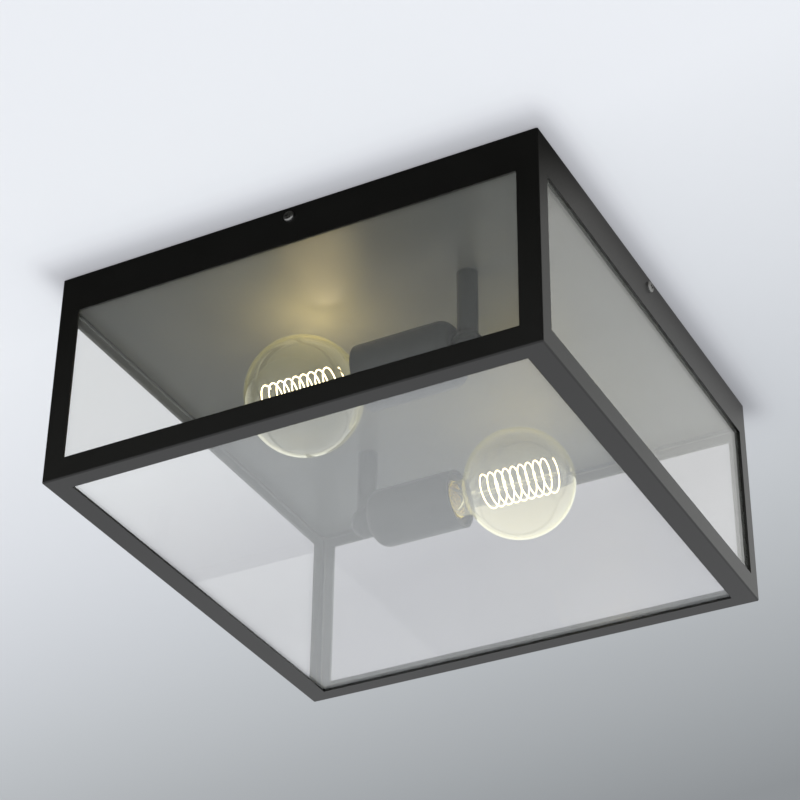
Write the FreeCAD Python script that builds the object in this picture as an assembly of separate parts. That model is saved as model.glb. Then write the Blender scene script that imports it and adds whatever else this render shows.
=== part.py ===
"""Square ceiling lantern for a porch: a glazed sheet-steel cage over a ceiling pan that carries two screw-in globe bulbs.

Millimetres. +Z is up, into the ceiling. The origin is the centre of the mounting strap's face on the ceiling.
The front bulb points along -X and the back bulb along +X: the back group is the front group turned half round Z.
"""
import FreeCAD
import Part
import math
import os

V = FreeCAD.Vector
X_AXIS = V(1, 0, 0)
Z_AXIS = V(0, 0, 1)

# --- glazed cage
cage_side = 350.0  # outside, square in plan
cage_bottom = 160.0  # underside below the ceiling
cage_top_gap = 1.0  # between the cage's upper edge and the ceiling
cage_sheet = 1.5
cage_edge_r = 1.2  # outer bend
band_h = 29.5  # from the ceiling down to the side windows
rail_h = 15.5  # below the side windows
post_front_w = 15.0  # corner posts on the front and back faces
post_side_w = 12.5  # corner posts on the left and right faces
flange_x_w = 15.4  # bottom flange along the left and right sides
flange_y_w = 12.4  # bottom flange along the front and back

# --- glass and its bedding
pane_t = 4.0
pane_lap = 7.0  # how far each pane runs behind the sheet round its window
seal_t = 0.5
seal_w = 6.0
seal_setback = 0.5  # from the window's edge to the bedding strip

# --- side screws that pinch the cage onto the pan
screw_drop = 8.3  # axis below the ceiling
screw_r = 2.0
screw_head_r = 3.8
screw_head_h = 2.0
screw_hole_gap = 0.2
screw_tip_gap = 0.1  # to the pan's wall
cross_l = 4.6
cross_w = 0.9
cross_depth = 1.2
weld_nut_af = 7.0
weld_nut_h = 3.0

# --- ceiling pan
pan_gap = 0.5  # between a weld nut and the pan's wall
pan_depth = 20.0
pan_t = 1.0
pan_rim_w = 9.0  # turned-in rim against the ceiling
pan_corner_r = 3.0

# --- strap on the ceiling, its studs and their nuts
strap_l = 110.0
strap_w = 22.0
strap_t = 2.0
slot_spacing = 88.0
slot_r = 2.5
slot_l = 12.0
stud_spacing = 60.0
stud_r = 2.0
stud_hole_gap = 0.3
stud_end = 6.5  # below the pan's underside
lock_nut_af = 7.0
lock_nut_h = 3.2
cap_nut_r = 4.5
cap_nut_h = 8.0

# --- stems, knuckles and nipples
stem_x = 81.0
stem_y = 80.5
lamp_drop = 77.5  # bulb axis below the ceiling
stem_r = 7.0
wireway_r = 4.0  # bore through stem, knuckle and nipple
spigot_r = 5.0
spigot_gap = 0.05
nipple_in_knuckle = 2.6
stem_top_l = 6.5  # threaded end above the pan's floor
stem_hole_gap = 0.2
washer_r = 9.0
washer_t = 1.0
stem_nut_af = 14.0
stem_nut_h = 4.0
knuckle_r = 11.0
thread_ends_gap = 0.3  # between the ends of stem and nipple inside the knuckle
knuckle_seat_up = 8.0  # flat under the stem, above the knuckle's centre
knuckle_seat_out = 7.0  # flat behind the lampholder, from the knuckle's centre

# --- lampholders
cover_l = 68.0
cover_r = 21.0
cover_t = 1.8
cover_shoulder_r = 9.0
socket_gap = 0.3  # between socket and cover
socket_setback = 3.0  # socket face behind the cover's mouth
socket_body_l = 37.0
boss_r = 11.5
boss_cavity_r = 8.2
boss_wall = 7.0  # threaded end wall of the boss
shell_gap = 0.4  # between the bulb's thread and the shell
shell_t = 0.5
shell_l = 23.0
shell_setback = 1.0  # shell edge behind the socket face
contact_gap = 0.3
contact_t = 1.0
contact_r = 4.0
rivet_r = 1.5
side_strip_w = 5.0
side_strip_t = 0.8
side_strip_reach = 4.2  # tail of the strip ends this far from the axis
socket_wall = 2.0  # between the wiring cavity and the well
rivet_tail = 1.5  # into the wiring cavity

# --- bulbs
globe_r = 39.5
globe_out = 46.0  # globe centre beyond the cover's mouth
globe_t = 1.0
neck_fillet_r = 10.0
cap_r = 13.15  # over the thread
cap_root_r = 12.35
cap_pitch = 3.629
cap_turns = 4
cap_setback = 2.0  # cap edge behind the cover's mouth
cap_skirt = 4.5
cap_t = 0.55
cap_thread_wall = 0.75
cap_tail = 1.0
neck_gap = 0.1
neck_in_cap = 4.2
insulator_plug = 2.0
insulator_l = 3.8
insulator_tip_r = 5.2
pip_r = 4.5
pip_h = 2.5
flare_t = 1.0
flare_seat = 2.0  # flare rim below the skirt
press_r = 3.0
press_start = 6.0
press_end = 13.0
rod_r = 1.2
rod_past = 2.5  # glass rod beyond the last turn
coil_r = 12.5
coil_pitch = 5.8
coil_turns = 9
coil_wire_r = 0.45
coil_start = 20.0
lead_in_r = 0.4
hook_r = 0.25
hook_gap = 0.05  # between a support's end and the coil

# --- terminals and leads in the pan
terminal_y = 40.0
terminal_l = 30.0
terminal_w = 26.0
terminal_h = 12.0
terminal_lift = 4.0  # bridge top above the pan's floor
pole_pitch = 8.0
pole_r = 2.4
clamp_screw_r = 1.5
clamp_screw_lift = 1.0
bridge_t = 1.0
bridge_foot = 6.0
pole_lead_in = 8.0  # lead inside the terminal block
pole_setback = 2.0  # pole inside the block's face
pole_web = 2.0  # between the two bores of a pole
clamp_well_gap = 0.4
lead_r = 0.9
lead_pair_gap = 0.4
lead_bend_r = 9.0
lead_knuckle_r = 7.0
lead_splay_r = 8.0
lead_splay = 5.4  # neutral lead's distance from the axis at its contact
lead_turn_r = 12.0
earth_x = 40.0
earth_stud_r = 2.0
earth_stud_l = 13.5
earth_nut_af = 7.0
earth_nut_h = 3.2

# --- values that follow
half = cage_side / 2
window_top = -band_h
window_bottom = -cage_bottom + rail_h
window_x = half - post_front_w
window_y = half - post_side_w
bottom_x = half - flange_x_w
bottom_y = half - flange_y_w
cage_inner = half - cage_sheet
pan_half = cage_inner - weld_nut_h - pan_gap
pan_floor = -pan_depth + pan_t
pane_out = cage_inner - seal_t
lamp_z = -lamp_drop
lamp_y = -stem_y
mouth_x = stem_x - knuckle_seat_out - cover_l
stem_in_knuckle = knuckle_seat_up - spigot_r - thread_ends_gap
shell_in_r = cap_r + shell_gap
shell_out_r = shell_in_r + shell_t
socket_r = cover_r - cover_t - socket_gap
cap_edge = -cap_setback
cap_thread_start = cap_edge - cap_skirt
cap_foot = cap_thread_start - cap_turns * cap_pitch - cap_tail
cap_bore_r = cap_root_r - cap_thread_wall
pip_end = cap_foot - insulator_l - pip_h
neck_r = cap_r - cap_t - neck_gap
coil_end = coil_start + coil_pitch * coil_turns
wire_z = pan_floor + terminal_lift + terminal_h / 2
lead_side = lead_r + lead_pair_gap / 2
cavity_front = -socket_setback - socket_body_l + socket_wall


def write(name, *shapes):
    """Save a node: one solid, or a group of separate solids."""
    solids = [solid for shape in shapes for solid in shape.Solids]
    out = solids[0] if len(solids) == 1 else Part.makeCompound(solids)
    out.exportStep("parts/" + name + ".step")
    print(name, len(solids), round(sum(solid.Volume for solid in solids), 1))


def box(x0, x1, y0, y1, z0, z1):
    return Part.makeBox(x1 - x0, y1 - y0, z1 - z0, V(x0, y0, z0))


def slab(half_x, half_y, z0, z1):
    return box(-half_x, half_x, -half_y, half_y, z0, z1)


def rod(start, end, radius):
    axis = end - start
    return Part.makeCylinder(radius, axis.Length, start, axis)


def hexagon(across_flats, height, base, axis):
    """Hexagonal prism standing on base along axis."""
    corner = across_flats / math.sqrt(3)
    points = []
    for i in range(7):
        angle = math.radians(60 * i)
        points.append(V(corner * math.cos(angle), corner * math.sin(angle), 0))
    prism = Part.Face(Part.makePolygon(points)).extrude(V(0, 0, height))
    prism.Placement = FreeCAD.Placement(base, FreeCAD.Rotation(Z_AXIS, axis))
    return prism


def opposite(shape):
    """The same shape turned half round the lantern's centre line."""
    turned = shape.copy()
    turned.rotate(V(0, 0, 0), Z_AXIS, 180)
    return turned


def four_sides(shape):
    """A shape on the right side, repeated on every side."""
    copies = []
    for i in range(4):
        turned = shape.copy()
        turned.rotate(V(0, 0, 0), Z_AXIS, 90 * i)
        copies.append(turned)
    return copies


def on_axis(u, radius=0.0, angle=0.0):
    """A point of the front lamp: u runs out of the cover's mouth, angle turns about the bulb's axis from up."""
    swing = math.radians(angle)
    return V(mouth_x - u, lamp_y + radius * math.sin(swing), lamp_z + radius * math.cos(swing))


def turned_solid(edges):
    """Revolve a closed profile, given as edges above the front bulb's axis."""
    face = Part.Face(Part.Wire(edges))
    solid = face.revolve(on_axis(0), X_AXIS, 360)
    if solid.Volume < 0:
        solid.reverse()
    return solid.Solids[0]


def line(a, b):
    return Part.LineSegment(on_axis(*a), on_axis(*b)).toShape()


def arc(a, b, c):
    return Part.Arc(on_axis(*a), on_axis(*b), on_axis(*c)).toShape()


def chain(points):
    """Straight profile edges through (u, radius) points, closed."""
    return [line(points[i], points[(i + 1) % len(points)]) for i in range(len(points))]


def sleeve(u0, u1, r_out, r_in):
    return turned_solid(chain([(u0, r_in), (u0, r_out), (u1, r_out), (u1, r_in)]))


def fillet_run(points, radii):
    """Straight runs through points, joined by tangent arcs of the given radii."""
    edges = []
    at = points[0]
    for i in range(1, len(points) - 1):
        back = (points[i - 1] - points[i]).normalize()
        ahead = (points[i + 1] - points[i]).normalize()
        turn = math.pi - back.getAngle(ahead)
        reach = radii[i - 1] * math.tan(turn / 2)
        start = points[i] + back * reach
        end = points[i] + ahead * reach
        inward = (back + ahead).normalize()
        middle = points[i] + inward * (radii[i - 1] / math.cos(turn / 2) - radii[i - 1])
        edges.append(Part.LineSegment(at, start).toShape())
        edges.append(Part.Arc(start, middle, end).toShape())
        at = end
    edges.append(Part.LineSegment(at, points[-1]).toShape())
    return edges


def tube_along(edges, radius):
    """One unbroken round tube on a tangent chain of lines and arcs."""
    first = edges[0]
    start = first.valueAt(first.FirstParameter)
    heading = first.tangentAt(first.FirstParameter)
    section = Part.Wire(Part.makeCircle(radius, start, heading))
    solid = Part.Wire(edges).makePipeShell([section], True, False)
    return solid.Solids[0]


def arc_from(start, heading, end):
    """The circular arc that leaves start along heading and arrives at end."""
    chord = end - start
    along = V(chord).normalize()
    bend = heading.getAngle(chord)
    rise = (heading - along * heading.dot(along)).normalize()
    middle = start + chord * 0.5 + rise * (chord.Length / 2 * math.tan(bend / 2))
    return Part.Arc(start, middle, end).toShape()


def biarc(p0, t0, p1, t1):
    """Two tangent arcs from p0 along t0 to p1 along t1."""
    span = p1 - p0
    both = t0 + t1
    fold = 2 * (1 - t0.dot(t1))
    reach = (math.sqrt(span.dot(both) ** 2 + fold * span.dot(span)) - span.dot(both)) / fold
    joint = (p0 + p1 + (t0 - t1) * reach) * 0.5
    arrive = (joint - p0 - t0 * reach).normalize()
    return [arc_from(p0, t0, joint), arc_from(joint, arrive, p1)]


# ---------------------------------------------------------------- cage

def cage_frame():
    """Five-sided sheet box, open to the ceiling, with a window in each side and in the floor."""
    shell = slab(half, half, -cage_bottom, -cage_top_gap)
    outer = [e for e in shell.Edges if e.BoundBox.ZMin < -cage_top_gap - cage_edge_r]
    shell = shell.makeFillet(cage_edge_r, outer)
    shell = shell.cut(slab(cage_inner, cage_inner, -cage_bottom + cage_sheet, 0))
    shell = shell.cut(slab(window_x, half + 1, window_bottom, window_top))
    shell = shell.cut(slab(half + 1, window_y, window_bottom, window_top))
    shell = shell.cut(slab(bottom_x, bottom_y, -cage_bottom - 1, -cage_bottom + cage_sheet + 1))
    hole = rod(V(cage_inner - 1, 0, -screw_drop), V(half + 1, 0, -screw_drop), screw_r + screw_hole_gap)
    return shell.cut(Part.makeCompound(four_sides(hole)))


def side_pane(window_half):
    """Pane behind the right side's window, bedded on its strip."""
    reach = window_half + pane_lap
    return box(pane_out - pane_t, pane_out, -reach, reach, window_bottom - pane_lap, window_top + pane_lap)


def side_seal(window_half):
    """Bedding strip between the right side's sheet and its pane."""
    near = window_half + seal_setback
    far = near + seal_w
    low = window_bottom - seal_setback
    high = window_top + seal_setback
    strip = box(pane_out, cage_inner, -far, far, low - seal_w, high + seal_w)
    return strip.cut(box(pane_out - 1, cage_inner + 1, -near, near, low, high))


def bottom_pane():
    z0 = -cage_bottom + cage_sheet + seal_t
    return slab(bottom_x + pane_lap, bottom_y + pane_lap, z0, z0 + pane_t)


def bottom_seal():
    z0 = -cage_bottom + cage_sheet
    near_x = bottom_x + seal_setback
    near_y = bottom_y + seal_setback
    strip = slab(near_x + seal_w, near_y + seal_w, z0, z0 + seal_t)
    return strip.cut(slab(near_x, near_y, z0 - 1, z0 + seal_t + 1))


def quarter(shape):
    turned = shape.copy()
    turned.rotate(V(0, 0, 0), Z_AXIS, 90)
    return turned


def side_screw():
    """Pan-head screw with a cross recess, through the right side's band."""
    foot = V(half, 0, -screw_drop)
    top = V(half + screw_head_h, 0, -screw_drop)
    head = rod(foot, top, screw_head_r)
    rim = [e for e in head.Edges if e.Length > 6 * screw_head_r and e.BoundBox.XMin > half + screw_head_h / 2]
    head = head.makeFillet(screw_head_h * 0.7, rim)
    shank = rod(V(pan_half + screw_tip_gap, 0, -screw_drop), foot, screw_r)
    screw = head.fuse(shank).removeSplitter()
    x0 = half + screw_head_h - cross_depth
    x1 = half + screw_head_h + 1
    z0 = -screw_drop
    bar = box(x0, x1, -cross_l / 2, cross_l / 2, z0 - cross_w / 2, z0 + cross_w / 2)
    post = box(x0, x1, -cross_w / 2, cross_w / 2, z0 - cross_l / 2, z0 + cross_l / 2)
    return screw.cut(bar.fuse(post))


def weld_nut():
    base = V(cage_inner - weld_nut_h, 0, -screw_drop)
    nut = hexagon(weld_nut_af, weld_nut_h, base, X_AXIS)
    return nut.cut(rod(base - X_AXIS, base + X_AXIS * (weld_nut_h + 1), screw_r + spigot_gap))


# ---------------------------------------------------------------- pan and strap

def ceiling_pan():
    """Shallow tray, open to the ceiling, with a turned-in rim and holes for the stems and the strap's studs."""
    tray = slab(pan_half, pan_half, -pan_depth, 0)
    corners = [e for e in tray.Edges if abs(e.BoundBox.ZLength - pan_depth) < 0.01]
    tray = tray.makeFillet(pan_corner_r, corners)
    inner = pan_half - pan_t
    hollow = slab(inner, inner, pan_floor, -pan_t)
    uprights = [e for e in hollow.Edges if abs(e.BoundBox.ZLength - pan_depth + 2 * pan_t) < 0.01]
    hollow = hollow.makeFillet(pan_corner_r - pan_t, uprights)
    mouth = slab(pan_half - pan_rim_w, pan_half - pan_rim_w, -pan_t - 1, 1)
    tray = tray.cut(hollow).cut(mouth)
    low = -pan_depth - 1
    stem_hole = rod(V(stem_x, lamp_y, low), V(stem_x, lamp_y, pan_floor + 1), spigot_r + stem_hole_gap)
    stud_hole = rod(V(stud_spacing / 2, 0, low), V(stud_spacing / 2, 0, pan_floor + 1), stud_r + stud_hole_gap)
    holes = [stem_hole, opposite(stem_hole), stud_hole, opposite(stud_hole)]
    return tray.cut(Part.makeCompound(holes))


def slot_cut(x):
    straight = slot_l / 2 - slot_r
    ends = [rod(V(x + s * straight, 0, -strap_t - 1), V(x + s * straight, 0, 1), slot_r) for s in (-1, 1)]
    middle = box(x - straight, x + straight, -slot_r, slot_r, -strap_t - 1, 1)
    return middle.fuse(ends[0]).fuse(ends[1])


def mount_strap():
    """Flat bar on the ceiling with a slot near each end and two holes for pressed-in studs."""
    strap = slab(strap_l / 2, strap_w / 2, -strap_t, 0)
    for s in (-1, 1):
        strap = strap.cut(slot_cut(s * slot_spacing / 2))
        x = s * stud_spacing / 2
        strap = strap.cut(rod(V(x, 0, -strap_t - 1), V(x, 0, 1), stud_r))
    return strap


def stud():
    x = stud_spacing / 2
    return rod(V(x, 0, -pan_depth - stud_end), V(x, 0, 0), stud_r)


def lock_nut():
    x = stud_spacing / 2
    nut = hexagon(lock_nut_af, lock_nut_h, V(x, 0, pan_floor), Z_AXIS)
    return nut.cut(rod(V(x, 0, pan_floor - 1), V(x, 0, pan_floor + lock_nut_h + 1), stud_r + spigot_gap))


def cap_nut():
    """Domed nut under the pan on the end of a stud."""
    x = stud_spacing / 2
    body = rod(V(x, 0, -pan_depth - cap_nut_h), V(x, 0, -pan_depth), cap_nut_r)
    rim = [e for e in body.Edges if e.BoundBox.ZMax < -pan_depth - cap_nut_h + 0.1]
    body = body.makeFillet(cap_nut_r * 0.55, rim)
    return body.cut(rod(V(x, 0, -pan_depth - stud_end), V(x, 0, -pan_depth + 1), stud_r + spigot_gap))


# ---------------------------------------------------------------- stem, knuckle and lampholder

def stem():
    """Drop tube with a threaded end through the pan and another in the knuckle."""
    seat = lamp_z + knuckle_seat_up
    tube = rod(V(stem_x, lamp_y, seat), V(stem_x, lamp_y, -pan_depth), stem_r)
    low = seat - stem_in_knuckle
    high = pan_floor + stem_top_l
    ends = rod(V(stem_x, lamp_y, low), V(stem_x, lamp_y, high), spigot_r)
    bore = rod(V(stem_x, lamp_y, low - 1), V(stem_x, lamp_y, high + 1), wireway_r)
    return tube.fuse(ends).removeSplitter().cut(bore)


def stem_washer():
    base = V(stem_x, lamp_y, pan_floor)
    ring = rod(base, base + Z_AXIS * washer_t, washer_r)
    return ring.cut(rod(base - Z_AXIS, base + Z_AXIS * (washer_t + 1), spigot_r + stem_hole_gap))


def stem_nut():
    base = V(stem_x, lamp_y, pan_floor + washer_t)
    nut = hexagon(stem_nut_af, stem_nut_h, base, Z_AXIS)
    return nut.cut(rod(base - Z_AXIS, base + Z_AXIS * (stem_nut_h + 1), spigot_r + spigot_gap))


def knuckle():
    """Hollow ball elbow with a flat under the stem and a flat behind the lampholder."""
    centre = V(stem_x, lamp_y, lamp_z)
    ball = Part.makeSphere(knuckle_r, centre)
    keep = box(
        stem_x - knuckle_seat_out,
        stem_x + knuckle_r + 1,
        lamp_y - knuckle_r - 1,
        lamp_y + knuckle_r + 1,
        lamp_z - knuckle_r - 1,
        lamp_z + knuckle_seat_up,
    )
    ball = ball.common(keep)
    ball = ball.cut(rod(centre, centre + Z_AXIS * (knuckle_seat_up + 1), wireway_r))
    ball = ball.cut(rod(centre, centre - X_AXIS * (knuckle_seat_out + 1), wireway_r))
    ball = ball.cut(Part.makeSphere(wireway_r + 1, centre))
    seat = lamp_z + knuckle_seat_up
    socket_up = rod(V(stem_x, lamp_y, seat - stem_in_knuckle), V(stem_x, lamp_y, seat + 1), spigot_r + spigot_gap)
    nose = stem_x - knuckle_seat_out
    socket_out = rod(V(nose + nipple_in_knuckle, lamp_y, lamp_z), V(nose - 1, lamp_y, lamp_z), spigot_r + spigot_gap)
    return ball.cut(socket_up).cut(socket_out)


def nipple():
    """Threaded tube that clamps the lampholder to the knuckle."""
    return sleeve(-cover_l - nipple_in_knuckle, -cover_l + cover_t + boss_wall, spigot_r, wireway_r)


def cover():
    """Lampholder sleeve, open at the mouth, with a rounded shoulder and a holed end wall."""
    r = cover_shoulder_r
    s = r * math.sqrt(0.5)
    inner_r = cover_r - cover_t
    k = r - cover_t
    m = k * math.sqrt(0.5)
    hole = spigot_r + stem_hole_gap
    edges = [
        line((0, inner_r), (0, cover_r)),
        line((0, cover_r), (-cover_l + r, cover_r)),
        arc((-cover_l + r, cover_r), (-cover_l + r - s, cover_r - r + s), (-cover_l, cover_r - r)),
        line((-cover_l, cover_r - r), (-cover_l, hole)),
        line((-cover_l, hole), (-cover_l + cover_t, hole)),
        line((-cover_l + cover_t, hole), (-cover_l + cover_t, cover_r - r)),
        arc((-cover_l + cover_t, cover_r - r), (-cover_l + r - m, cover_r - r + m), (-cover_l + r, inner_r)),
        line((-cover_l + r, inner_r), (0, inner_r)),
    ]
    return turned_solid(edges)


def socket(side):
    """Insulating socket: a wide body with a well for the cap, and a boss that screws onto the nipple."""
    front = -socket_setback
    well_r = shell_out_r
    floor = pip_end - contact_gap - contact_t
    back = front - socket_body_l
    end = -cover_l + cover_t
    profile = [
        (front, well_r),
        (front, socket_r),
        (back, socket_r),
        (back, boss_r),
        (end, boss_r),
        (end, spigot_r + spigot_gap),
        (end + boss_wall, spigot_r + spigot_gap),
        (end + boss_wall, boss_cavity_r),
        (cavity_front, boss_cavity_r),
        (cavity_front, rivet_r),
        (floor, rivet_r),
        (floor, well_r),
    ]
    body = turned_solid(chain(profile))
    return body.cut(side_contact(side))


def side_bar(u0, u1, r0, r1, side):
    """Bar of the strip's width beside the front bulb's axis, above it for side 1 and below it for side -1."""
    z0 = lamp_z + min(side * r0, side * r1)
    z1 = lamp_z + max(side * r0, side * r1)
    half_w = side_strip_w / 2
    return box(mouth_x - u1, mouth_x - u0, lamp_y - half_w, lamp_y + half_w, z0, z1)


def thread_shell():
    start = -socket_setback - shell_setback
    return sleeve(start - shell_l, start, shell_out_r, shell_in_r)


def side_contact(side):
    """Bent strip from the shell's edge back through the socket, with its tail in the wiring cavity."""
    start = -socket_setback - shell_setback - shell_l
    back = cavity_front - side_strip_t
    along = side_bar(back, start, shell_out_r - side_strip_t, shell_out_r, side)
    tail = side_bar(back, cavity_front, side_strip_reach, shell_out_r, side)
    return along.fuse(tail).removeSplitter()


def centre_contact():
    """Disc under the bulb's pip on a rivet through the socket's floor."""
    face = pip_end - contact_gap
    disc = rod(on_axis(face - contact_t), on_axis(face), contact_r)
    shank = rod(on_axis(cavity_front - rivet_tail), on_axis(face - contact_t), rivet_r)
    return disc.fuse(shank).removeSplitter()


# ---------------------------------------------------------------- bulb

def globe_profile(r_ball, r_neck, r_fillet):
    """Neck line, concave fillet and ball arc from the neck's foot to the pole."""
    side = r_neck + r_fillet
    reach = math.sqrt((r_ball + r_fillet) ** 2 - side ** 2)
    u_fillet = globe_out - reach
    share = r_fillet / (r_ball + r_fillet)
    meet = (u_fillet + reach * share, side * (1 - share))
    half_turn = (math.pi / 2 + math.atan2(meet[1] - side, meet[0] - u_fillet)) / 2
    fillet_mid = (u_fillet + r_fillet * math.sin(half_turn), side - r_fillet * math.cos(half_turn))
    swing = (math.pi - math.atan2(meet[1], globe_out - meet[0])) / 2
    ball_mid = (globe_out + r_ball * math.cos(swing), r_ball * math.sin(swing))
    foot = cap_edge - neck_in_cap
    return [
        line((foot, r_neck), (u_fillet, r_neck)),
        arc((u_fillet, r_neck), fillet_mid, meet),
        arc(meet, ball_mid, (globe_out + r_ball, 0)),
    ]


def globe():
    """Blown glass: an open neck that flares into a ball."""
    outer = globe_profile(globe_r, neck_r, neck_fillet_r)
    inner = globe_profile(globe_r - globe_t, neck_r - globe_t, neck_fillet_r + globe_t)
    foot = cap_edge - neck_in_cap
    pole = globe_out + globe_r
    edges = outer + [line((pole, 0), (pole - globe_t, 0))]
    edges += list(reversed(inner)) + [line((foot, neck_r - globe_t), (foot, neck_r))]
    return turned_solid(edges)


def cap():
    """Screw cap: a plain skirt round the neck, then the rounded thread."""
    r_mid = (cap_r + cap_root_r) / 2
    bore_top = cap_edge - cap_skirt
    skirt_in = cap_r - cap_t
    edges = [
        line((cap_edge, skirt_in), (cap_edge, cap_r)),
        line((cap_edge, cap_r), (cap_thread_start + 0.3, cap_r)),
        line((cap_thread_start + 0.3, cap_r), (cap_thread_start, r_mid)),
    ]
    u = cap_thread_start
    for _ in range(cap_turns):
        edges.append(arc((u, r_mid), (u - cap_pitch / 4, cap_root_r), (u - cap_pitch / 2, r_mid)))
        edges.append(arc((u - cap_pitch / 2, r_mid), (u - cap_pitch * 0.75, cap_r), (u - cap_pitch, r_mid)))
        u -= cap_pitch
    edges.append(line((u, r_mid), (cap_foot, cap_root_r)))
    edges.append(line((cap_foot, cap_root_r), (cap_foot, cap_bore_r)))
    edges.append(line((cap_foot, cap_bore_r), (bore_top, cap_bore_r)))
    edges.append(line((bore_top, cap_bore_r), (bore_top, skirt_in)))
    edges.append(line((bore_top, skirt_in), (cap_edge, skirt_in)))
    return turned_solid(edges)


def cap_insulator():
    tip = cap_foot - insulator_l
    profile = [
        (cap_foot + insulator_plug, 0),
        (cap_foot + insulator_plug, cap_bore_r),
        (cap_foot, cap_bore_r),
        (cap_foot, cap_root_r),
        (tip, insulator_tip_r),
        (tip, 0),
    ]
    return turned_solid(chain(profile))


def cap_pip():
    """Domed solder contact at the tip of the cap."""
    base = cap_foot - insulator_l
    ball_r = (pip_r ** 2 + pip_h ** 2) / (2 * pip_h)
    middle = base - pip_h + ball_r
    angle = math.asin(pip_r / ball_r) / 2
    mid = (middle - ball_r * math.cos(angle), ball_r * math.sin(angle))
    edges = [
        line((base, 0), (base, pip_r)),
        arc((base, pip_r), mid, (pip_end, 0)),
        line((pip_end, 0), (base, 0)),
    ]
    return turned_solid(edges)


def glass_mount():
    """Flare sealed in the cap, the pinch above it and the rod that carries the hooks."""
    seat = cap_edge - cap_skirt - flare_seat
    profile = [
        (seat, cap_bore_r - flare_t),
        (seat, cap_bore_r),
        (seat + 1.5, cap_bore_r),
        (press_start, press_r),
        (press_end, press_r),
        (press_end, rod_r),
        (coil_end + rod_past, rod_r),
        (coil_end + rod_past, 0),
        (press_start, 0),
    ]
    return turned_solid(chain(profile))


def coil_angle(u):
    return 360 * (u - coil_start) / coil_pitch


def coil_point(u):
    return on_axis(u, coil_r, coil_angle(u))


def coil_heading(u):
    step = 0.001
    return (coil_point(u + step) - coil_point(u - step)).normalize()


def filament():
    """Open coil round the rod on quarter-turn biarcs, its two ends straight for one wire diameter."""
    stops = [coil_start + coil_pitch * i / 4 for i in range(4 * coil_turns + 1)]
    first = coil_point(stops[0])
    last = coil_point(stops[-1])
    tail = 2 * coil_wire_r
    edges = [Part.LineSegment(first - coil_heading(stops[0]) * tail, first).toShape()]
    for a, b in zip(stops, stops[1:]):
        edges += biarc(coil_point(a), coil_heading(a), coil_point(b), coil_heading(b))
    edges.append(Part.LineSegment(last, last + coil_heading(stops[-1]) * tail).toShape())
    report_coil_gap()
    return tube_along(edges, coil_wire_r)


def report_coil_gap():
    """Print the coil's least gap to itself, measured on points at least half a turn apart."""
    count = 24 * coil_turns
    points = [coil_point(coil_start + coil_pitch * i / 24) for i in range(count + 1)]
    least = min(
        points[i].distanceToPoint(points[j]) for i in range(count + 1) for j in range(i + 12, count + 1)
    )
    print("least gap of the coil to itself", round(least - 2 * coil_wire_r, 3), "mm")


def coil_wires():
    """Two lead-in wires from the pinch to the coil's ends, and a hook from the rod to every other turn."""
    reach = coil_r - coil_wire_r - hook_gap
    foot = press_r - lead_in_r
    wires = [rod(on_axis(press_end + lead_in_r, foot), on_axis(coil_start, reach), lead_in_r)]
    long_run = [on_axis(press_end, foot, 180), on_axis(coil_end, foot, 180), on_axis(coil_end, reach, 180)]
    wires.append(tube_along(fillet_run(long_run, [5 * lead_in_r]), lead_in_r))
    for i in range(1, coil_turns, 2):
        u = coil_start + coil_pitch * (i + 0.25)
        wires.append(rod(on_axis(u, rod_r, 90), on_axis(u, reach, 90), hook_r))
    return wires


# ---------------------------------------------------------------- terminals and leads

def terminal_bridge():
    """Bent plate that lifts the terminal block off the pan's floor."""
    top = pan_floor + terminal_lift
    reach = terminal_l / 2
    y0 = terminal_y - pole_pitch / 2
    y1 = terminal_y + pole_pitch / 2
    plate = box(-reach - bridge_foot, reach + bridge_foot, y0, y1, pan_floor, pan_floor + bridge_t)
    plate = plate.cut(box(-reach, reach, y0 - 1, y1 + 1, pan_floor - 1, pan_floor + bridge_t + 1))
    legs = box(-reach - bridge_t, reach + bridge_t, y0, y1, pan_floor, top)
    legs = legs.cut(box(-reach, reach, y0 - 1, y1 + 1, pan_floor - 1, top - bridge_t))
    return legs.fuse(plate).removeSplitter()


def pole_positions():
    return [terminal_y + pole_pitch * i for i in (-1, 0, 1)]


def terminal_block():
    """Three-pole insulating block with a bore and a screw well for each pole."""
    z0 = pan_floor + terminal_lift
    y0 = terminal_y - terminal_w / 2
    block = box(-terminal_l / 2, terminal_l / 2, y0, y0 + terminal_w, z0, z0 + terminal_h)
    for y in pole_positions():
        block = block.cut(rod(V(-terminal_l / 2 - 1, y, wire_z), V(terminal_l / 2 + 1, y, wire_z), pole_r))
        for x in clamp_positions():
            block = block.cut(rod(V(x, y, wire_z), V(x, y, z0 + terminal_h + 1), clamp_screw_r + clamp_well_gap))
    return block


def clamp_positions():
    return [-terminal_l / 4, terminal_l / 4]


def pole_tube(y):
    """Brass tube of one pole with the bores for its leads and clamp screws."""
    reach = terminal_l / 2 - pole_setback
    tube = rod(V(-reach, y, wire_z), V(reach, y, wire_z), pole_r)
    tube = tube.cut(rod(V(-reach - 1, y, wire_z), V(-pole_web / 2, y, wire_z), lead_r))
    tube = tube.cut(rod(V(pole_web / 2, y, wire_z), V(reach + 1, y, wire_z), lead_r))
    for x in clamp_positions():
        tube = tube.cut(rod(V(x, y, wire_z), V(x, y, wire_z + pole_r + 1), clamp_screw_r))
    return tube


def clamp_screws():
    z1 = wire_z + terminal_h / 2 - clamp_screw_lift
    screws = []
    for y in pole_positions():
        for x in clamp_positions():
            screws.append(rod(V(x, y, wire_z + lead_r), V(x, y, z1), clamp_screw_r))
    return screws


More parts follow.
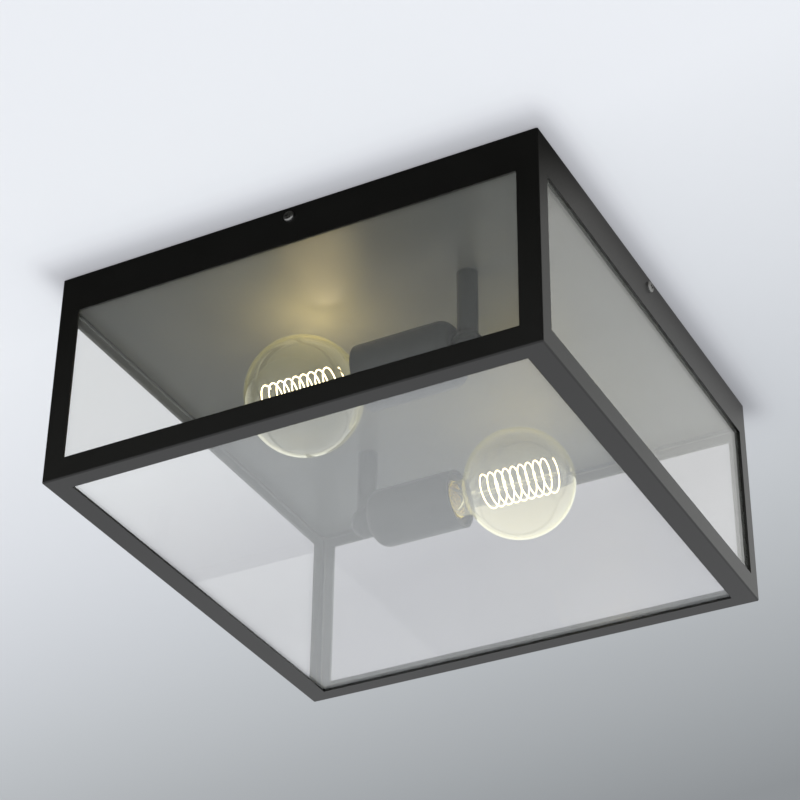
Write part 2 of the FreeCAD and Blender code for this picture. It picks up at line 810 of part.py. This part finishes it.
def lead(start_y, side, offset, splay, end_u):
    """Insulated lead from a pole, across the pan, down the stem and through the knuckle to its contact."""
    x = side * (stem_x + offset)
    y = -side * stem_y
    low = lamp_z - offset
    cavity = side * (mouth_x + cover_l - cover_t - boss_wall)
    splayed = side * (mouth_x + (cover_l - cavity_front) / 2)
    end = lamp_z + splay
    route = [
        V(side * (terminal_l / 2 - pole_lead_in), start_y, wire_z),
        V(x, start_y, wire_z),
        V(x, y, wire_z),
        V(x, y, low),
        V(cavity, y, low),
        V(splayed, y, end),
        V(side * (mouth_x - end_u), y, end),
    ]
    radii = [lead_turn_r, lead_bend_r, lead_knuckle_r + offset + lead_side, lead_splay_r, lead_splay_r]
    tube = tube_along(fillet_run(route, radii), lead_r)
    print("lead radii", radii, "volume over section times length", lead_fill(tube, route, radii))
    return tube


def lead_fill(tube, route, radii):
    length = sum(edge.Length for edge in fillet_run(route, radii))
    return round(tube.Volume / (math.pi * lead_r ** 2 * length), 5)


def earth_lead():
    start = V(-terminal_l / 2 + pole_lead_in, terminal_y, wire_z)
    end = V(-earth_x + earth_stud_r, terminal_y, wire_z)
    return rod(start, end, lead_r)


def earth_stud():
    base = V(-earth_x, terminal_y, pan_floor)
    return rod(base, base + Z_AXIS * earth_stud_l, earth_stud_r)


def earth_nut():
    base = V(-earth_x, terminal_y, pan_floor)
    nut = hexagon(earth_nut_af, earth_nut_h, base, Z_AXIS)
    return nut.cut(rod(base - Z_AXIS, base + Z_AXIS * (earth_nut_h + 1), earth_stud_r + spigot_gap))


def write_cage():
    write("cage_frame", cage_frame())
    right = side_pane(window_y)
    back = quarter(side_pane(window_x))
    write("pane_right", right)
    write("pane_left", opposite(right))
    write("pane_back", back)
    write("pane_front", opposite(back))
    write("pane_bottom", bottom_pane())
    side = side_seal(window_y)
    end = quarter(side_seal(window_x))
    write("pane_seals", side, opposite(side), end, opposite(end), bottom_seal())
    write("cage_screws", *four_sides(side_screw()))
    write("weld_nuts", *four_sides(weld_nut()))


def write_pan():
    write("ceiling_pan", ceiling_pan())
    write("mount_strap", mount_strap())
    write("strap_studs", stud(), opposite(stud()))
    write("lock_nuts", lock_nut(), opposite(lock_nut()))
    write("cap_nuts", cap_nut(), opposite(cap_nut()))
    write("terminal_bridge", terminal_bridge())
    write("terminal_block", terminal_block())
    write("terminal_poles", *[pole_tube(y) for y in pole_positions()])
    write("terminal_screws", *clamp_screws())
    write("earth_stud", earth_stud())
    write("earth_nut", earth_nut())
    write("lead_earth", earth_lead())
    write("stem_washers", stem_washer(), opposite(stem_washer()))
    write("stem_nuts", stem_nut(), opposite(stem_nut()))


def write_leads():
    """The shell's contact strip is below the axis in the front lampholder and above it in the back one."""
    live_y, _, neutral_y = pole_positions()
    at_rivet = cavity_front - rivet_tail
    at_strip = cavity_front - side_strip_t
    write("lead_live_front", lead(live_y, 1, -lead_side, 0, at_rivet))
    write("lead_neutral_front", lead(neutral_y, 1, lead_side, -lead_splay, at_strip))
    write("lead_live_back", lead(live_y, -1, lead_side, 0, at_rivet))
    write("lead_neutral_back", lead(neutral_y, -1, -lead_side, lead_splay, at_strip))


def write_lamp(name, build):
    """Save a front piece and its half-turned copy at the back."""
    front = build()
    shapes = front if isinstance(front, list) else [front]
    write(name + "_front", *shapes)
    write(name + "_back", *[opposite(shape) for shape in shapes])


def write_lamps():
    write_lamp("stem", stem)
    write_lamp("knuckle", knuckle)
    write_lamp("nipple", nipple)
    write_lamp("holder_cover", cover)
    write("socket_front", socket(-1))
    write("socket_back", opposite(socket(1)))
    write_lamp("thread_shell", thread_shell)
    write_lamp("centre_contact", centre_contact)
    write("side_contact_front", side_contact(-1))
    write("side_contact_back", opposite(side_contact(1)))
    write_lamp("bulb_globe", globe)
    write_lamp("bulb_cap", cap)
    write_lamp("bulb_insulator", cap_insulator)
    write_lamp("bulb_contact", cap_pip)
    write_lamp("bulb_mount", glass_mount)
    write_lamp("bulb_wires", coil_wires)
    write_lamp("bulb_filament", filament)


os.makedirs("parts", exist_ok=True)
write_cage()
write_pan()
write_leads()
write_lamps()
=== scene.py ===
"""Porch ceiling lantern: finishes, ceiling, floor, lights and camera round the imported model.

Metres, +Z up into the ceiling."""

import bpy
from mathutils import Matrix, Vector


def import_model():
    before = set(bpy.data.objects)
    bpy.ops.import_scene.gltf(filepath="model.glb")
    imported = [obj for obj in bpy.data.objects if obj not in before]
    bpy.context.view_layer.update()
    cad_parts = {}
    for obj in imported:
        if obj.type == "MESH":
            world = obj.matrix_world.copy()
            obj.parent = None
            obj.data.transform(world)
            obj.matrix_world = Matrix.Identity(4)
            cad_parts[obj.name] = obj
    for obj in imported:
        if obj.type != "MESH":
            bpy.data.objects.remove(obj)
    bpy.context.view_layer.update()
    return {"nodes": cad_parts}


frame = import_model()
nodes = frame["nodes"]
scene = bpy.context.scene


# ---------------------------------------------------------------- node helpers

class Graph:
    """Adds nodes and links to one material's or world's node tree."""

    def __init__(self, tree):
        self.tree = tree
        tree.nodes.clear()

    def add(self, kind, **properties):
        node = self.tree.nodes.new(kind)
        for key, value in properties.items():
            setattr(node, key, value)
        return node

    def feed(self, socket, value):
        """Links an output to the socket, or sets a number or a colour on it."""
        if isinstance(value, bpy.types.NodeSocket):
            self.tree.links.new(value, socket)
        elif isinstance(value, tuple):
            socket.default_value = (*value, 1)
        else:
            socket.default_value = value

    def fed(self, kind, inputs, **properties):
        """First output of a new node with these inputs, given by name or by number."""
        node = self.add(kind, **properties)
        for key, value in inputs.items():
            self.feed(node.inputs[key], value)
        return node.outputs[0]

    def math(self, operation, *operands, clamp=False):
        inputs = dict(enumerate(operands))
        return self.fed("ShaderNodeMath", inputs, operation=operation, use_clamp=clamp)

    def place(self):
        return self.add("ShaderNodeTexCoord").outputs["Object"]

    def axes(self):
        node = self.add("ShaderNodeSeparateXYZ")
        self.feed(node.inputs[0], self.place())
        return node.outputs["X"], node.outputs["Y"], node.outputs["Z"]

    def noise(self, scale, detail=3.0, rough=0.5):
        return self.fed("ShaderNodeTexNoise", {
            "Vector": self.place(), "Scale": scale, "Detail": detail, "Roughness": rough})

    def ramp(self, fac, stops):
        node = self.add("ShaderNodeValToRGB")
        self.feed(node.inputs[0], fac)
        elements = node.color_ramp.elements
        while len(elements) < len(stops):
            elements.new(0.5)
        for element, (at, colour) in zip(elements, stops):
            element.position = at
            element.color = (*colour, 1)
        return node.outputs[0]

    def bump(self, height, distance):
        return self.fed("ShaderNodeBump", {"Height": height, "Distance": distance, "Strength": 1.0})

    def mix(self, fac, first, second):
        return self.fed("ShaderNodeMixShader", {0: fac, 1: first, 2: second})

    def blend(self, fac, first, second, how="MIX"):
        return self.fed("ShaderNodeMixRGB", {0: fac, 1: first, 2: second}, blend_type=how)

    def diffuse(self, colour):
        return self.fed("ShaderNodeBsdfDiffuse", {"Color": colour})

    def transparent(self, colour=(1, 1, 1)):
        return self.fed("ShaderNodeBsdfTransparent", {"Color": colour})

    def emission(self, colour, strength=1.0):
        return self.fed("ShaderNodeEmission", {"Color": colour, "Strength": strength})

    def path(self):
        return self.add("ShaderNodeLightPath").outputs

    def seen_from_behind(self):
        return self.add("ShaderNodeNewGeometry").outputs["Backfacing"]

    def output(self, surface):
        node = self.add("ShaderNodeOutputMaterial")
        self.feed(node.inputs[0], surface)


def material(name):
    made = bpy.data.materials.new(name)
    made.use_nodes = True
    return made, Graph(made.node_tree)


# ---------------------------------------------------------------- kinds of finish

NOISE_ROUGH = 0.6
BLOTCH_SCALE, BLOTCH_DETAIL = 22.0, 4.0  # slow change of colour over an opaque finish
BLOTCH_DARK, BLOTCH_LIGHT = 0.35, 0.65
GRAIN_DETAIL = 3.0

GLASS_IOR = 1.5
SMEAR_SCALE, SMEAR_DETAIL = 9.0, 4.0  # faint unevenness of glass
SMEAR_ROUGH = 0.02
SMEAR_BRIGHTER = 1.01
SMEAR_LOW, SMEAR_HIGH = 0.3, 0.7
RIM_BLEND = 0.5
RIM_FROM, RIM_FULL = 0.60, 0.96  # where a globe's edge begins to look thick, and where it is fully so; its painted edge glow follows the same span

GLOBE_FOOT, GLOBE_TOP = -0.117, -0.038  # heights of the globes' ends
PAINTED_GLOW_WEAK_AT, PAINTED_GLOW_STRONG_AT = 0.40, 0.85  # share of the way down a globe where its painted glow is weak, and where it is strong

BLACKNESS, WHITENESS = (0, 0, 0), (1, 1, 1)
BOUNCED = 0.5  # a ray's depth is above this after one bounce


def solid(name, dark, light, rough, grain, bump_mm, scale, metallic=0.0, specular=0.5):
    """Opaque finish: two close colours mixed by a coarse noise, and a fine grain in roughness and height."""
    made, g = material(name)
    coarse = g.noise(BLOTCH_SCALE, BLOTCH_DETAIL, NOISE_ROUGH)
    fine = g.noise(scale, GRAIN_DETAIL, NOISE_ROUGH)
    g.output(g.fed("ShaderNodeBsdfPrincipled", {
        "Base Color": g.ramp(coarse, [(BLOTCH_DARK, dark), (BLOTCH_LIGHT, light)]),
        "Metallic": metallic,
        "Specular IOR Level": specular,
        "Roughness": g.math("MULTIPLY_ADD", fine, grain, rough - grain / 2),
        "Normal": g.bump(fine, bump_mm / 1000),
    }))
    return made


def glass(name, tint, reflection_veil=0.0, reflection_veil_colour=WHITENESS, lit=None):
    """Clear glass. Light reaches what is behind it straight through; a faint smear breaks up its reflections.
    The pale matt veil, given as a share, is painted reflection of the bright surroundings. lit, for a globe, holds
    the tint of its edge, and the painted glow of its edge and of its upper and lower part."""
    made, g = material(name)
    smear = g.noise(SMEAR_SCALE, SMEAR_DETAIL, NOISE_ROUGH)
    brighter = tuple(min(1.0, channel * SMEAR_BRIGHTER) for channel in tint)
    colour = g.ramp(smear, [(SMEAR_LOW, tint), (SMEAR_HIGH, brighter)])
    inputs = {
        "Transmission Weight": 1.0,
        "IOR": GLASS_IOR,
        "Roughness": g.math("MULTIPLY_ADD", smear, SMEAR_ROUGH, 0.0),
    }
    if lit:
        edge_tint, painted_edge_glow, painted_upper_glow, painted_lower_glow = lit
        edge = g.add("ShaderNodeLayerWeight")
        g.feed(edge.inputs["Blend"], RIM_BLEND)
        near_edge = g.ramp(edge.outputs["Facing"], [(RIM_FROM, BLACKNESS), (RIM_FULL, WHITENESS)])
        colour = g.blend(near_edge, colour, edge_tint)
        # painted glow: the globe's glass glows, more towards its foot and at its edge, though it is no lamp
        below_top = g.math("SUBTRACT", GLOBE_TOP, g.axes()[2])
        share_down = g.math("DIVIDE", below_top, GLOBE_TOP - GLOBE_FOOT, clamp=True)
        painted_glow = g.ramp(share_down, [(PAINTED_GLOW_WEAK_AT, painted_upper_glow), (PAINTED_GLOW_STRONG_AT, painted_lower_glow)])
        inputs["Emission Color"] = g.blend(near_edge, painted_glow, painted_edge_glow)
        inputs["Emission Strength"] = 1.0
    inputs["Base Color"] = colour
    surface = g.fed("ShaderNodeBsdfPrincipled", inputs)
    # painted reflection: a pale matt veil over the glass
    if reflection_veil:
        surface = g.mix(reflection_veil, surface, g.diffuse(reflection_veil_colour))
    path = g.path()
    passes = g.math("MAXIMUM", path["Is Shadow Ray"], path["Is Diffuse Ray"])
    g.output(g.mix(passes, surface, g.transparent(tint)))
    return made


FILAMENT_CARBON = (0.02, 0.015, 0.01)
FILAMENT_ROUGH = 0.6
FILAMENT_GLOW = 5.0
FILAMENT_COOLER, FILAMENT_HOTTER = (0.3, (1.0, 0.80, 0.48)), (0.7, (1.0, 0.90, 0.66))
FILAMENT_NOISE_SCALE = 120.0


def filament_material():
    """Carbon filament at work, warm white and slightly uneven. It doesn't glow in gloss, where it would leave dots."""
    made, g = material("filament")
    mirrored = g.math("GREATER_THAN", g.path()["Glossy Depth"], BOUNCED)
    g.output(g.fed("ShaderNodeBsdfPrincipled", {
        "Base Color": FILAMENT_CARBON,
        "Roughness": FILAMENT_ROUGH,
        "Emission Color": g.ramp(g.noise(FILAMENT_NOISE_SCALE), [FILAMENT_COOLER, FILAMENT_HOTTER]),
        "Emission Strength": g.math("MULTIPLY", g.math("SUBTRACT", 1.0, mirrored), FILAMENT_GLOW),
    }))
    return made


# ---------------------------------------------------------------- the part's finishes

BLACK = solid(
    "black_powder_coat", dark=(0.0018, 0.0018, 0.0014), light=(0.0030, 0.0030, 0.0025),
    rough=0.38, grain=0.05, bump_mm=0.01, scale=500)
HOLDER = solid(
    "black_holder", dark=(0.009, 0.009, 0.009), light=(0.013, 0.013, 0.0125),
    rough=0.45, grain=0.04, bump_mm=0.008, scale=400)
PAN = solid(
    "grey_pan", dark=(0.058, 0.06, 0.056), light=(0.07, 0.072, 0.067),
    rough=0.30, grain=0.03, bump_mm=0.0012, scale=300)
ZINC = solid(
    "zinc_plate", dark=(0.42, 0.42, 0.40), light=(0.62, 0.62, 0.60),
    rough=0.34, grain=0.16, bump_mm=0.01, scale=700, metallic=1.0)
SCREW = solid(
    "dull_screw", dark=(0.24, 0.24, 0.23), light=(0.34, 0.34, 0.33),
    rough=0.36, grain=0.14, bump_mm=0.01, scale=900, metallic=1.0)
NICKEL = solid(
    "nickel", dark=(0.55, 0.54, 0.50), light=(0.70, 0.69, 0.66),
    rough=0.18, grain=0.10, bump_mm=0.005, scale=700, metallic=1.0)
BRASS = solid(
    "brass", dark=(0.70, 0.58, 0.16), light=(0.84, 0.71, 0.25),
    rough=0.26, grain=0.12, bump_mm=0.005, scale=600, metallic=1.0)
CAP = solid(
    "lit_brass", dark=(0.78, 0.66, 0.14), light=(0.90, 0.78, 0.20),
    rough=0.28, grain=0.10, bump_mm=0.005, scale=600, metallic=0.55)
SEAL = solid(
    "seal", dark=(0.012, 0.012, 0.012), light=(0.02, 0.02, 0.02),
    rough=0.75, grain=0.10, bump_mm=0.02, scale=1200, specular=0.3)
MOULDING = solid(
    "dark_moulding", dark=(0.014, 0.014, 0.013), light=(0.022, 0.022, 0.021),
    rough=0.38, grain=0.08, bump_mm=0.01, scale=500)
PALE = solid(
    "pale_plastic", dark=(0.66, 0.66, 0.62), light=(0.76, 0.76, 0.72),
    rough=0.45, grain=0.10, bump_mm=0.01, scale=900)
LIVE = solid(
    "brown_sleeve", dark=(0.09, 0.035, 0.015), light=(0.13, 0.05, 0.022),
    rough=0.4, grain=0.1, bump_mm=0.01, scale=700)
NEUTRAL = solid(
    "blue_sleeve", dark=(0.012, 0.06, 0.30), light=(0.02, 0.09, 0.40),
    rough=0.4, grain=0.1, bump_mm=0.01, scale=700)
EARTH = solid(
    "green_sleeve", dark=(0.10, 0.28, 0.03), light=(0.16, 0.36, 0.05),
    rough=0.4, grain=0.1, bump_mm=0.01, scale=700)
VITRITE = solid(
    "vitrite", dark=(0.012, 0.009, 0.014), light=(0.02, 0.016, 0.022),
    rough=0.15, grain=0.06, bump_mm=0.005, scale=500)

PANE_TINT = (0.985, 0.995, 0.99)
GLOBE_EDGE_TINT = (0.80, 0.73, 0.32)
# The pale veil on each pane is painted reflection of the bright surroundings, strongest on the bottom pane.
PANE = glass("clear_pane", PANE_TINT, reflection_veil=0.032, reflection_veil_colour=(0.9, 0.92, 0.88))
PANE_RIGHT = glass("clear_pane_right", PANE_TINT, reflection_veil=0.035, reflection_veil_colour=(0.95, 0.97, 0.90))
PANE_BOTTOM = glass("clear_pane_bottom", PANE_TINT, reflection_veil=0.12, reflection_veil_colour=(0.9, 0.93, 0.94))
MOUNT = glass("mount_glass", (0.96, 0.95, 0.86))
# Each globe's lit holds its edge tint, its painted edge glow and the painted glow of its upper and lower part; the
# back globe's painted glow is all low down.
AMBER = {
    "front": glass(
        "amber_glass_front", (1.0, 0.97, 0.82),
        lit=(GLOBE_EDGE_TINT, (0.12, 0.11, 0.038), (0.010, 0.010, 0.006), (0.018, 0.018, 0.014))),
    "back": glass(
        "amber_glass_back", (0.975, 0.94, 0.75),
        lit=(GLOBE_EDGE_TINT, (0.15, 0.14, 0.05), BLACKNESS, (0.135, 0.134, 0.122))),
}
FILAMENT = filament_material()

FINISH = {
    "cage_frame": BLACK,
    "pane_front": PANE,
    "pane_back": PANE,
    "pane_left": PANE,
    "pane_right": PANE_RIGHT,
    "pane_bottom": PANE_BOTTOM,
    "pane_seals": SEAL,
    "cage_screws": SCREW,
    "weld_nuts": ZINC,
    "ceiling_pan": PAN,
    "mount_strap": ZINC,
    "strap_studs": ZINC,
    "lock_nuts": ZINC,
    "cap_nuts": NICKEL,
    "terminal_bridge": ZINC,
    "terminal_block": PALE,
    "terminal_poles": BRASS,
    "terminal_screws": ZINC,
    "earth_stud": BRASS,
    "earth_nut": BRASS,
    "lead_earth": EARTH,
    "stem_washers": ZINC,
    "stem_nuts": ZINC,
}
for end in ("front", "back"):
    FINISH.update({
        "lead_live_" + end: LIVE,
        "lead_neutral_" + end: NEUTRAL,
        "stem_" + end: HOLDER,
        "knuckle_" + end: HOLDER,
        "nipple_" + end: ZINC,
        "holder_cover_" + end: HOLDER,
        "socket_" + end: MOULDING,
        "thread_shell_" + end: CAP,
        "centre_contact_" + end: BRASS,
        "side_contact_" + end: BRASS,
        "bulb_globe_" + end: AMBER[end],
        "bulb_cap_" + end: CAP,
        "bulb_insulator_" + end: VITRITE,
        "bulb_contact_" + end: NICKEL,
        "bulb_mount_" + end: MOUNT,
        "bulb_wires_" + end: NICKEL,
        "bulb_filament_" + end: FILAMENT,
    })
for name, node in nodes.items():
    node.data.materials.clear()
    node.data.materials.append(FINISH[name])


# ---------------------------------------------------------------- ceiling and floor

CEILING_HALF = 6.0
CEILING_LIFT = 0.0006  # above the part's ceiling face
CAGE_HALF = 0.175  # the ceiling is darkest at the cage's edge
PAN_HALF = 0.168  # over the pan the ceiling is left out, so that a view from above shows the pan's inside
CEILING_GLOW = 1.035
CEILING_LIT_SHARE = 0.30  # how much of the ceiling's paint takes the scene's light, as far as the eye sees it

SHADE_Y, SHADE_X = 0.99, 0.139  # direction in which the ceiling gets darker
SHADE_FROM = 0.2  # the shading starts this far in front of the centre and is one metre long
# painted shade: the pale ceiling paint darkens from front to back
CEILING_SHADES = [
    (0.05, (0.839, 0.863, 0.905)),
    (0.247, (0.722, 0.745, 0.784)),
    (0.396, (0.616, 0.639, 0.672)),
    (0.546, (0.514, 0.537, 0.560)),
    (0.695, (0.425, 0.445, 0.463)),
    (0.845, (0.348, 0.367, 0.382)),
    (1.0, (0.275, 0.290, 0.303)),
]
THROUGH_SHADES = [  # the same way along, as seen through glass
    (0.0, (0.95, 0.955, 0.985)),
    (0.20, (0.87, 0.875, 0.915)),
    (0.34, (0.575, 0.565, 0.61)),
    (0.46, (0.415, 0.405, 0.445)),
    (1.0, (0.425, 0.42, 0.46)),
]

CONTACT_REACH = 0.08
CONTACT_SIDE = 1.5  # the contact shadow is this much narrower on the left and right
CONTACT_SHADES = [
    (0.0, (0.50, 0.49, 0.50)),
    (0.10, (0.60, 0.595, 0.605)),
    (0.20, (0.77, 0.765, 0.775)),
    (0.30, (0.905, 0.90, 0.905)),
    (0.42, (0.98, 0.98, 0.98)),
    (0.60, (1, 1, 1)),
]

MIRROR_FROM, MIRROR_LENGTH = 0.45, 0.75  # along y, from in front of the lantern towards the back
MIRRORED_SHADES = [
    (0.0, (0.24, 0.24, 0.23)),
    (0.20, (0.13, 0.13, 0.12)),
    (0.307, (0.035, 0.035, 0.03)),
    (0.40, (0.14, 0.14, 0.13)),
    (0.48, (0.62, 0.62, 0.60)),
    (0.72, (0.76, 0.77, 0.76)),
    (1.0, (0.98, 0.99, 0.98)),
]

FLOOR_HALF = 9.0
FLOOR_Z = -2.4
FLOOR_NOISE_SCALE = 1.5
FLOOR_DARK, FLOOR_LIGHT = (0.3, (0.80, 0.81, 0.82)), (0.7, (0.84, 0.85, 0.86))


def plane(name, half, z, facing_down, finish):
    corners = [(-half, -half, z), (half, -half, z), (half, half, z), (-half, half, z)]
    mesh = bpy.data.meshes.new(name)
    mesh.from_pydata(corners, [], [(3, 2, 1, 0) if facing_down else (0, 1, 2, 3)])
    mesh.materials.append(finish)
    made = bpy.data.objects.new(name, mesh)
    scene.collection.objects.link(made)


def contact_shadow(g, x, y):
    """Darkens the ceiling close round the cage."""
    beyond_x, beyond_y = [
        g.math("MAXIMUM", g.math("SUBTRACT", g.math("ABSOLUTE", axis), CAGE_HALF), 0.0) for axis in (x, y)]
    beyond_x = g.math("MULTIPLY", beyond_x, CONTACT_SIDE)
    squares = [g.math("MULTIPLY", beyond, beyond) for beyond in (beyond_x, beyond_y)]
    away = g.math("SQRT", g.math("ADD", *squares))
    return g.ramp(g.math("DIVIDE", away, CONTACT_REACH, clamp=True), CONTACT_SHADES)


def ceiling_material():
    """Pale paint, seen only from below and casting no shadow, so that the lantern can also be seen from above.
    It shades from nearly white in front to grey at the back. Seen through glass it has paler shades close by, and
    gloss sees it darker in front of the lantern."""
    made, g = material("ceiling_paint")
    x, y, _ = g.axes()
    along = g.math("ADD", g.math("MULTIPLY", y, SHADE_Y), g.math("MULTIPLY", x, SHADE_X))
    along = g.math("ADD", along, SHADE_FROM, clamp=True)
    # pale paint with painted shade towards the back, and a painted contact shadow round the cage
    shaded_paint = g.ramp(along, CEILING_SHADES)
    contact = contact_shadow(g, x, y)
    painted = g.diffuse(shaded_paint)
    glowing = g.emission(g.blend(1.0, shaded_paint, contact, "MULTIPLY"), CEILING_GLOW)
    to_the_eye = g.mix(CEILING_LIT_SHARE, glowing, painted)
    # painted shades for the ceiling as seen through glass
    through_glass = g.emission(g.ramp(along, THROUGH_SHADES))
    # painted reflection: the ceiling as gloss sees it
    along_mirror = g.math("DIVIDE", g.math("ADD", y, MIRROR_FROM), MIRROR_LENGTH, clamp=True)
    in_gloss = g.emission(g.blend(1.0, g.ramp(along_mirror, MIRRORED_SHADES), contact, "MULTIPLY"))
    path = g.path()
    after_gloss = g.math("GREATER_THAN", path["Glossy Depth"], BOUNCED)
    after_matt = g.math("GREATER_THAN", path["Diffuse Depth"], BOUNCED)
    surface = g.mix(path["Is Camera Ray"], painted, to_the_eye)
    surface = g.mix(path["Is Transmission Ray"], surface, through_glass)
    surface = g.mix(after_gloss, surface, in_gloss)
    surface = g.mix(after_matt, surface, painted)
    from_centre = g.math("MAXIMUM", g.math("ABSOLUTE", x), g.math("ABSOLUTE", y))
    over_pan = g.math("LESS_THAN", from_centre, PAN_HALF)
    hidden = g.math("MAXIMUM", path["Is Shadow Ray"], g.seen_from_behind())
    hidden = g.math("MAXIMUM", hidden, over_pan)
    g.output(g.mix(hidden, surface, g.transparent()))
    return made


def floor_material():
    """Plain pale floor far below, seen only from above and only by the eye."""
    made, g = material("pale_floor")
    face = g.diffuse(g.ramp(g.noise(FLOOR_NOISE_SCALE), [FLOOR_DARK, FLOOR_LIGHT]))
    path = g.path()
    looked_at = g.math("MAXIMUM", path["Is Camera Ray"], path["Is Transmission Ray"])
    shown = g.math("SUBTRACT", looked_at, g.seen_from_behind(), clamp=True)
    g.output(g.mix(shown, g.transparent(), face))
    return made


plane("ceiling", CEILING_HALF, CEILING_LIFT, True, ceiling_material())
plane("floor", FLOOR_HALF, FLOOR_Z, False, floor_material())


# ---------------------------------------------------------------- lights

AIR_COLOUR = (0.97, 0.98, 1.0)
AIR_STRENGTH = 0.95
PATCH_COLOUR = (1.0, 0.80, 0.46)
PATCH_RADIUS = 0.022
BULB_COLOUR = (1.0, 0.87, 0.58)
BULB_RADIUS = 0.018


def world():
    """Soft studio air: the same pale grey all round."""
    made = bpy.data.worlds.new("studio")
    made.use_nodes = True
    scene.world = made
    g = Graph(made.node_tree)
    air = g.fed("ShaderNodeBackground", {"Color": AIR_COLOUR, "Strength": AIR_STRENGTH})
    g.feed(g.add("ShaderNodeOutputWorld").inputs["Surface"], air)


def point_light(name, spot, power, colour, radius):
    lamp = bpy.data.lights.new(name, "POINT")
    lamp.energy = power
    lamp.color = colour
    lamp.shadow_soft_size = radius
    made = bpy.data.objects.new(name, lamp)
    made.location = spot
    made.visible_camera = made.visible_transmission = False
    scene.collection.objects.link(made)
    return made


def glow_patch(name, spot, power):
    """A bulb's soft shine on the satin pan above it, and on nothing else."""
    made = point_light(name, spot, power, PATCH_COLOUR, PATCH_RADIUS)
    lit = bpy.data.collections.new(name + "_on")
    lit.objects.link(nodes["ceiling_pan"])
    made.light_linking.receiver_collection = lit


def bulb_light(name, spot, power):
    """A bulb's light on all that is round it. The light itself shows nowhere."""
    made = point_light(name, spot, power, BULB_COLOUR, BULB_RADIUS)
    made.visible_glossy = False


world()
glow_patch("patch_front", spot=(-0.031, -0.082, -0.050), power=0.33)
glow_patch("patch_back", spot=(0.049, 0.078, -0.057), power=0.07)
bulb_light("glow_front", spot=(-0.040, -0.0805, -0.0775), power=0.09)
bulb_light("glow_back", spot=(0.040, 0.0805, -0.0775), power=0.12)


# ---------------------------------------------------------------- camera

# The camera that was fitted to the cage's eight corners in the photo.
CAMERA_SPOT = (0.62758, -1.19002, -0.93194)
CAMERA_RIGHT = Vector((0.88415, 0.46708, 0.01078))
CAMERA_DOWN = Vector((-0.24896, 0.49054, -0.8351))
CAMERA_AHEAD = Vector((-0.39535, 0.73567, 0.54999))
FOCAL_PX = 2350.87
PICTURE_PX = 800
SENSOR_MM = 36.0
CLIP_NEAR, CLIP_FAR = 0.01, 50.0


def camera():
    lens = bpy.data.cameras.new("camera")
    lens.sensor_width = SENSOR_MM
    lens.lens = FOCAL_PX / PICTURE_PX * SENSOR_MM
    lens.clip_start = CLIP_NEAR
    lens.clip_end = CLIP_FAR
    made = bpy.data.objects.new("camera", lens)
    turn = Matrix((CAMERA_RIGHT, -CAMERA_DOWN, -CAMERA_AHEAD)).transposed().to_4x4()
    made.matrix_world = Matrix.Translation(CAMERA_SPOT) @ turn
    scene.collection.objects.link(made)
    scene.camera = made


camera()
scene.view_settings.view_transform = "Standard"
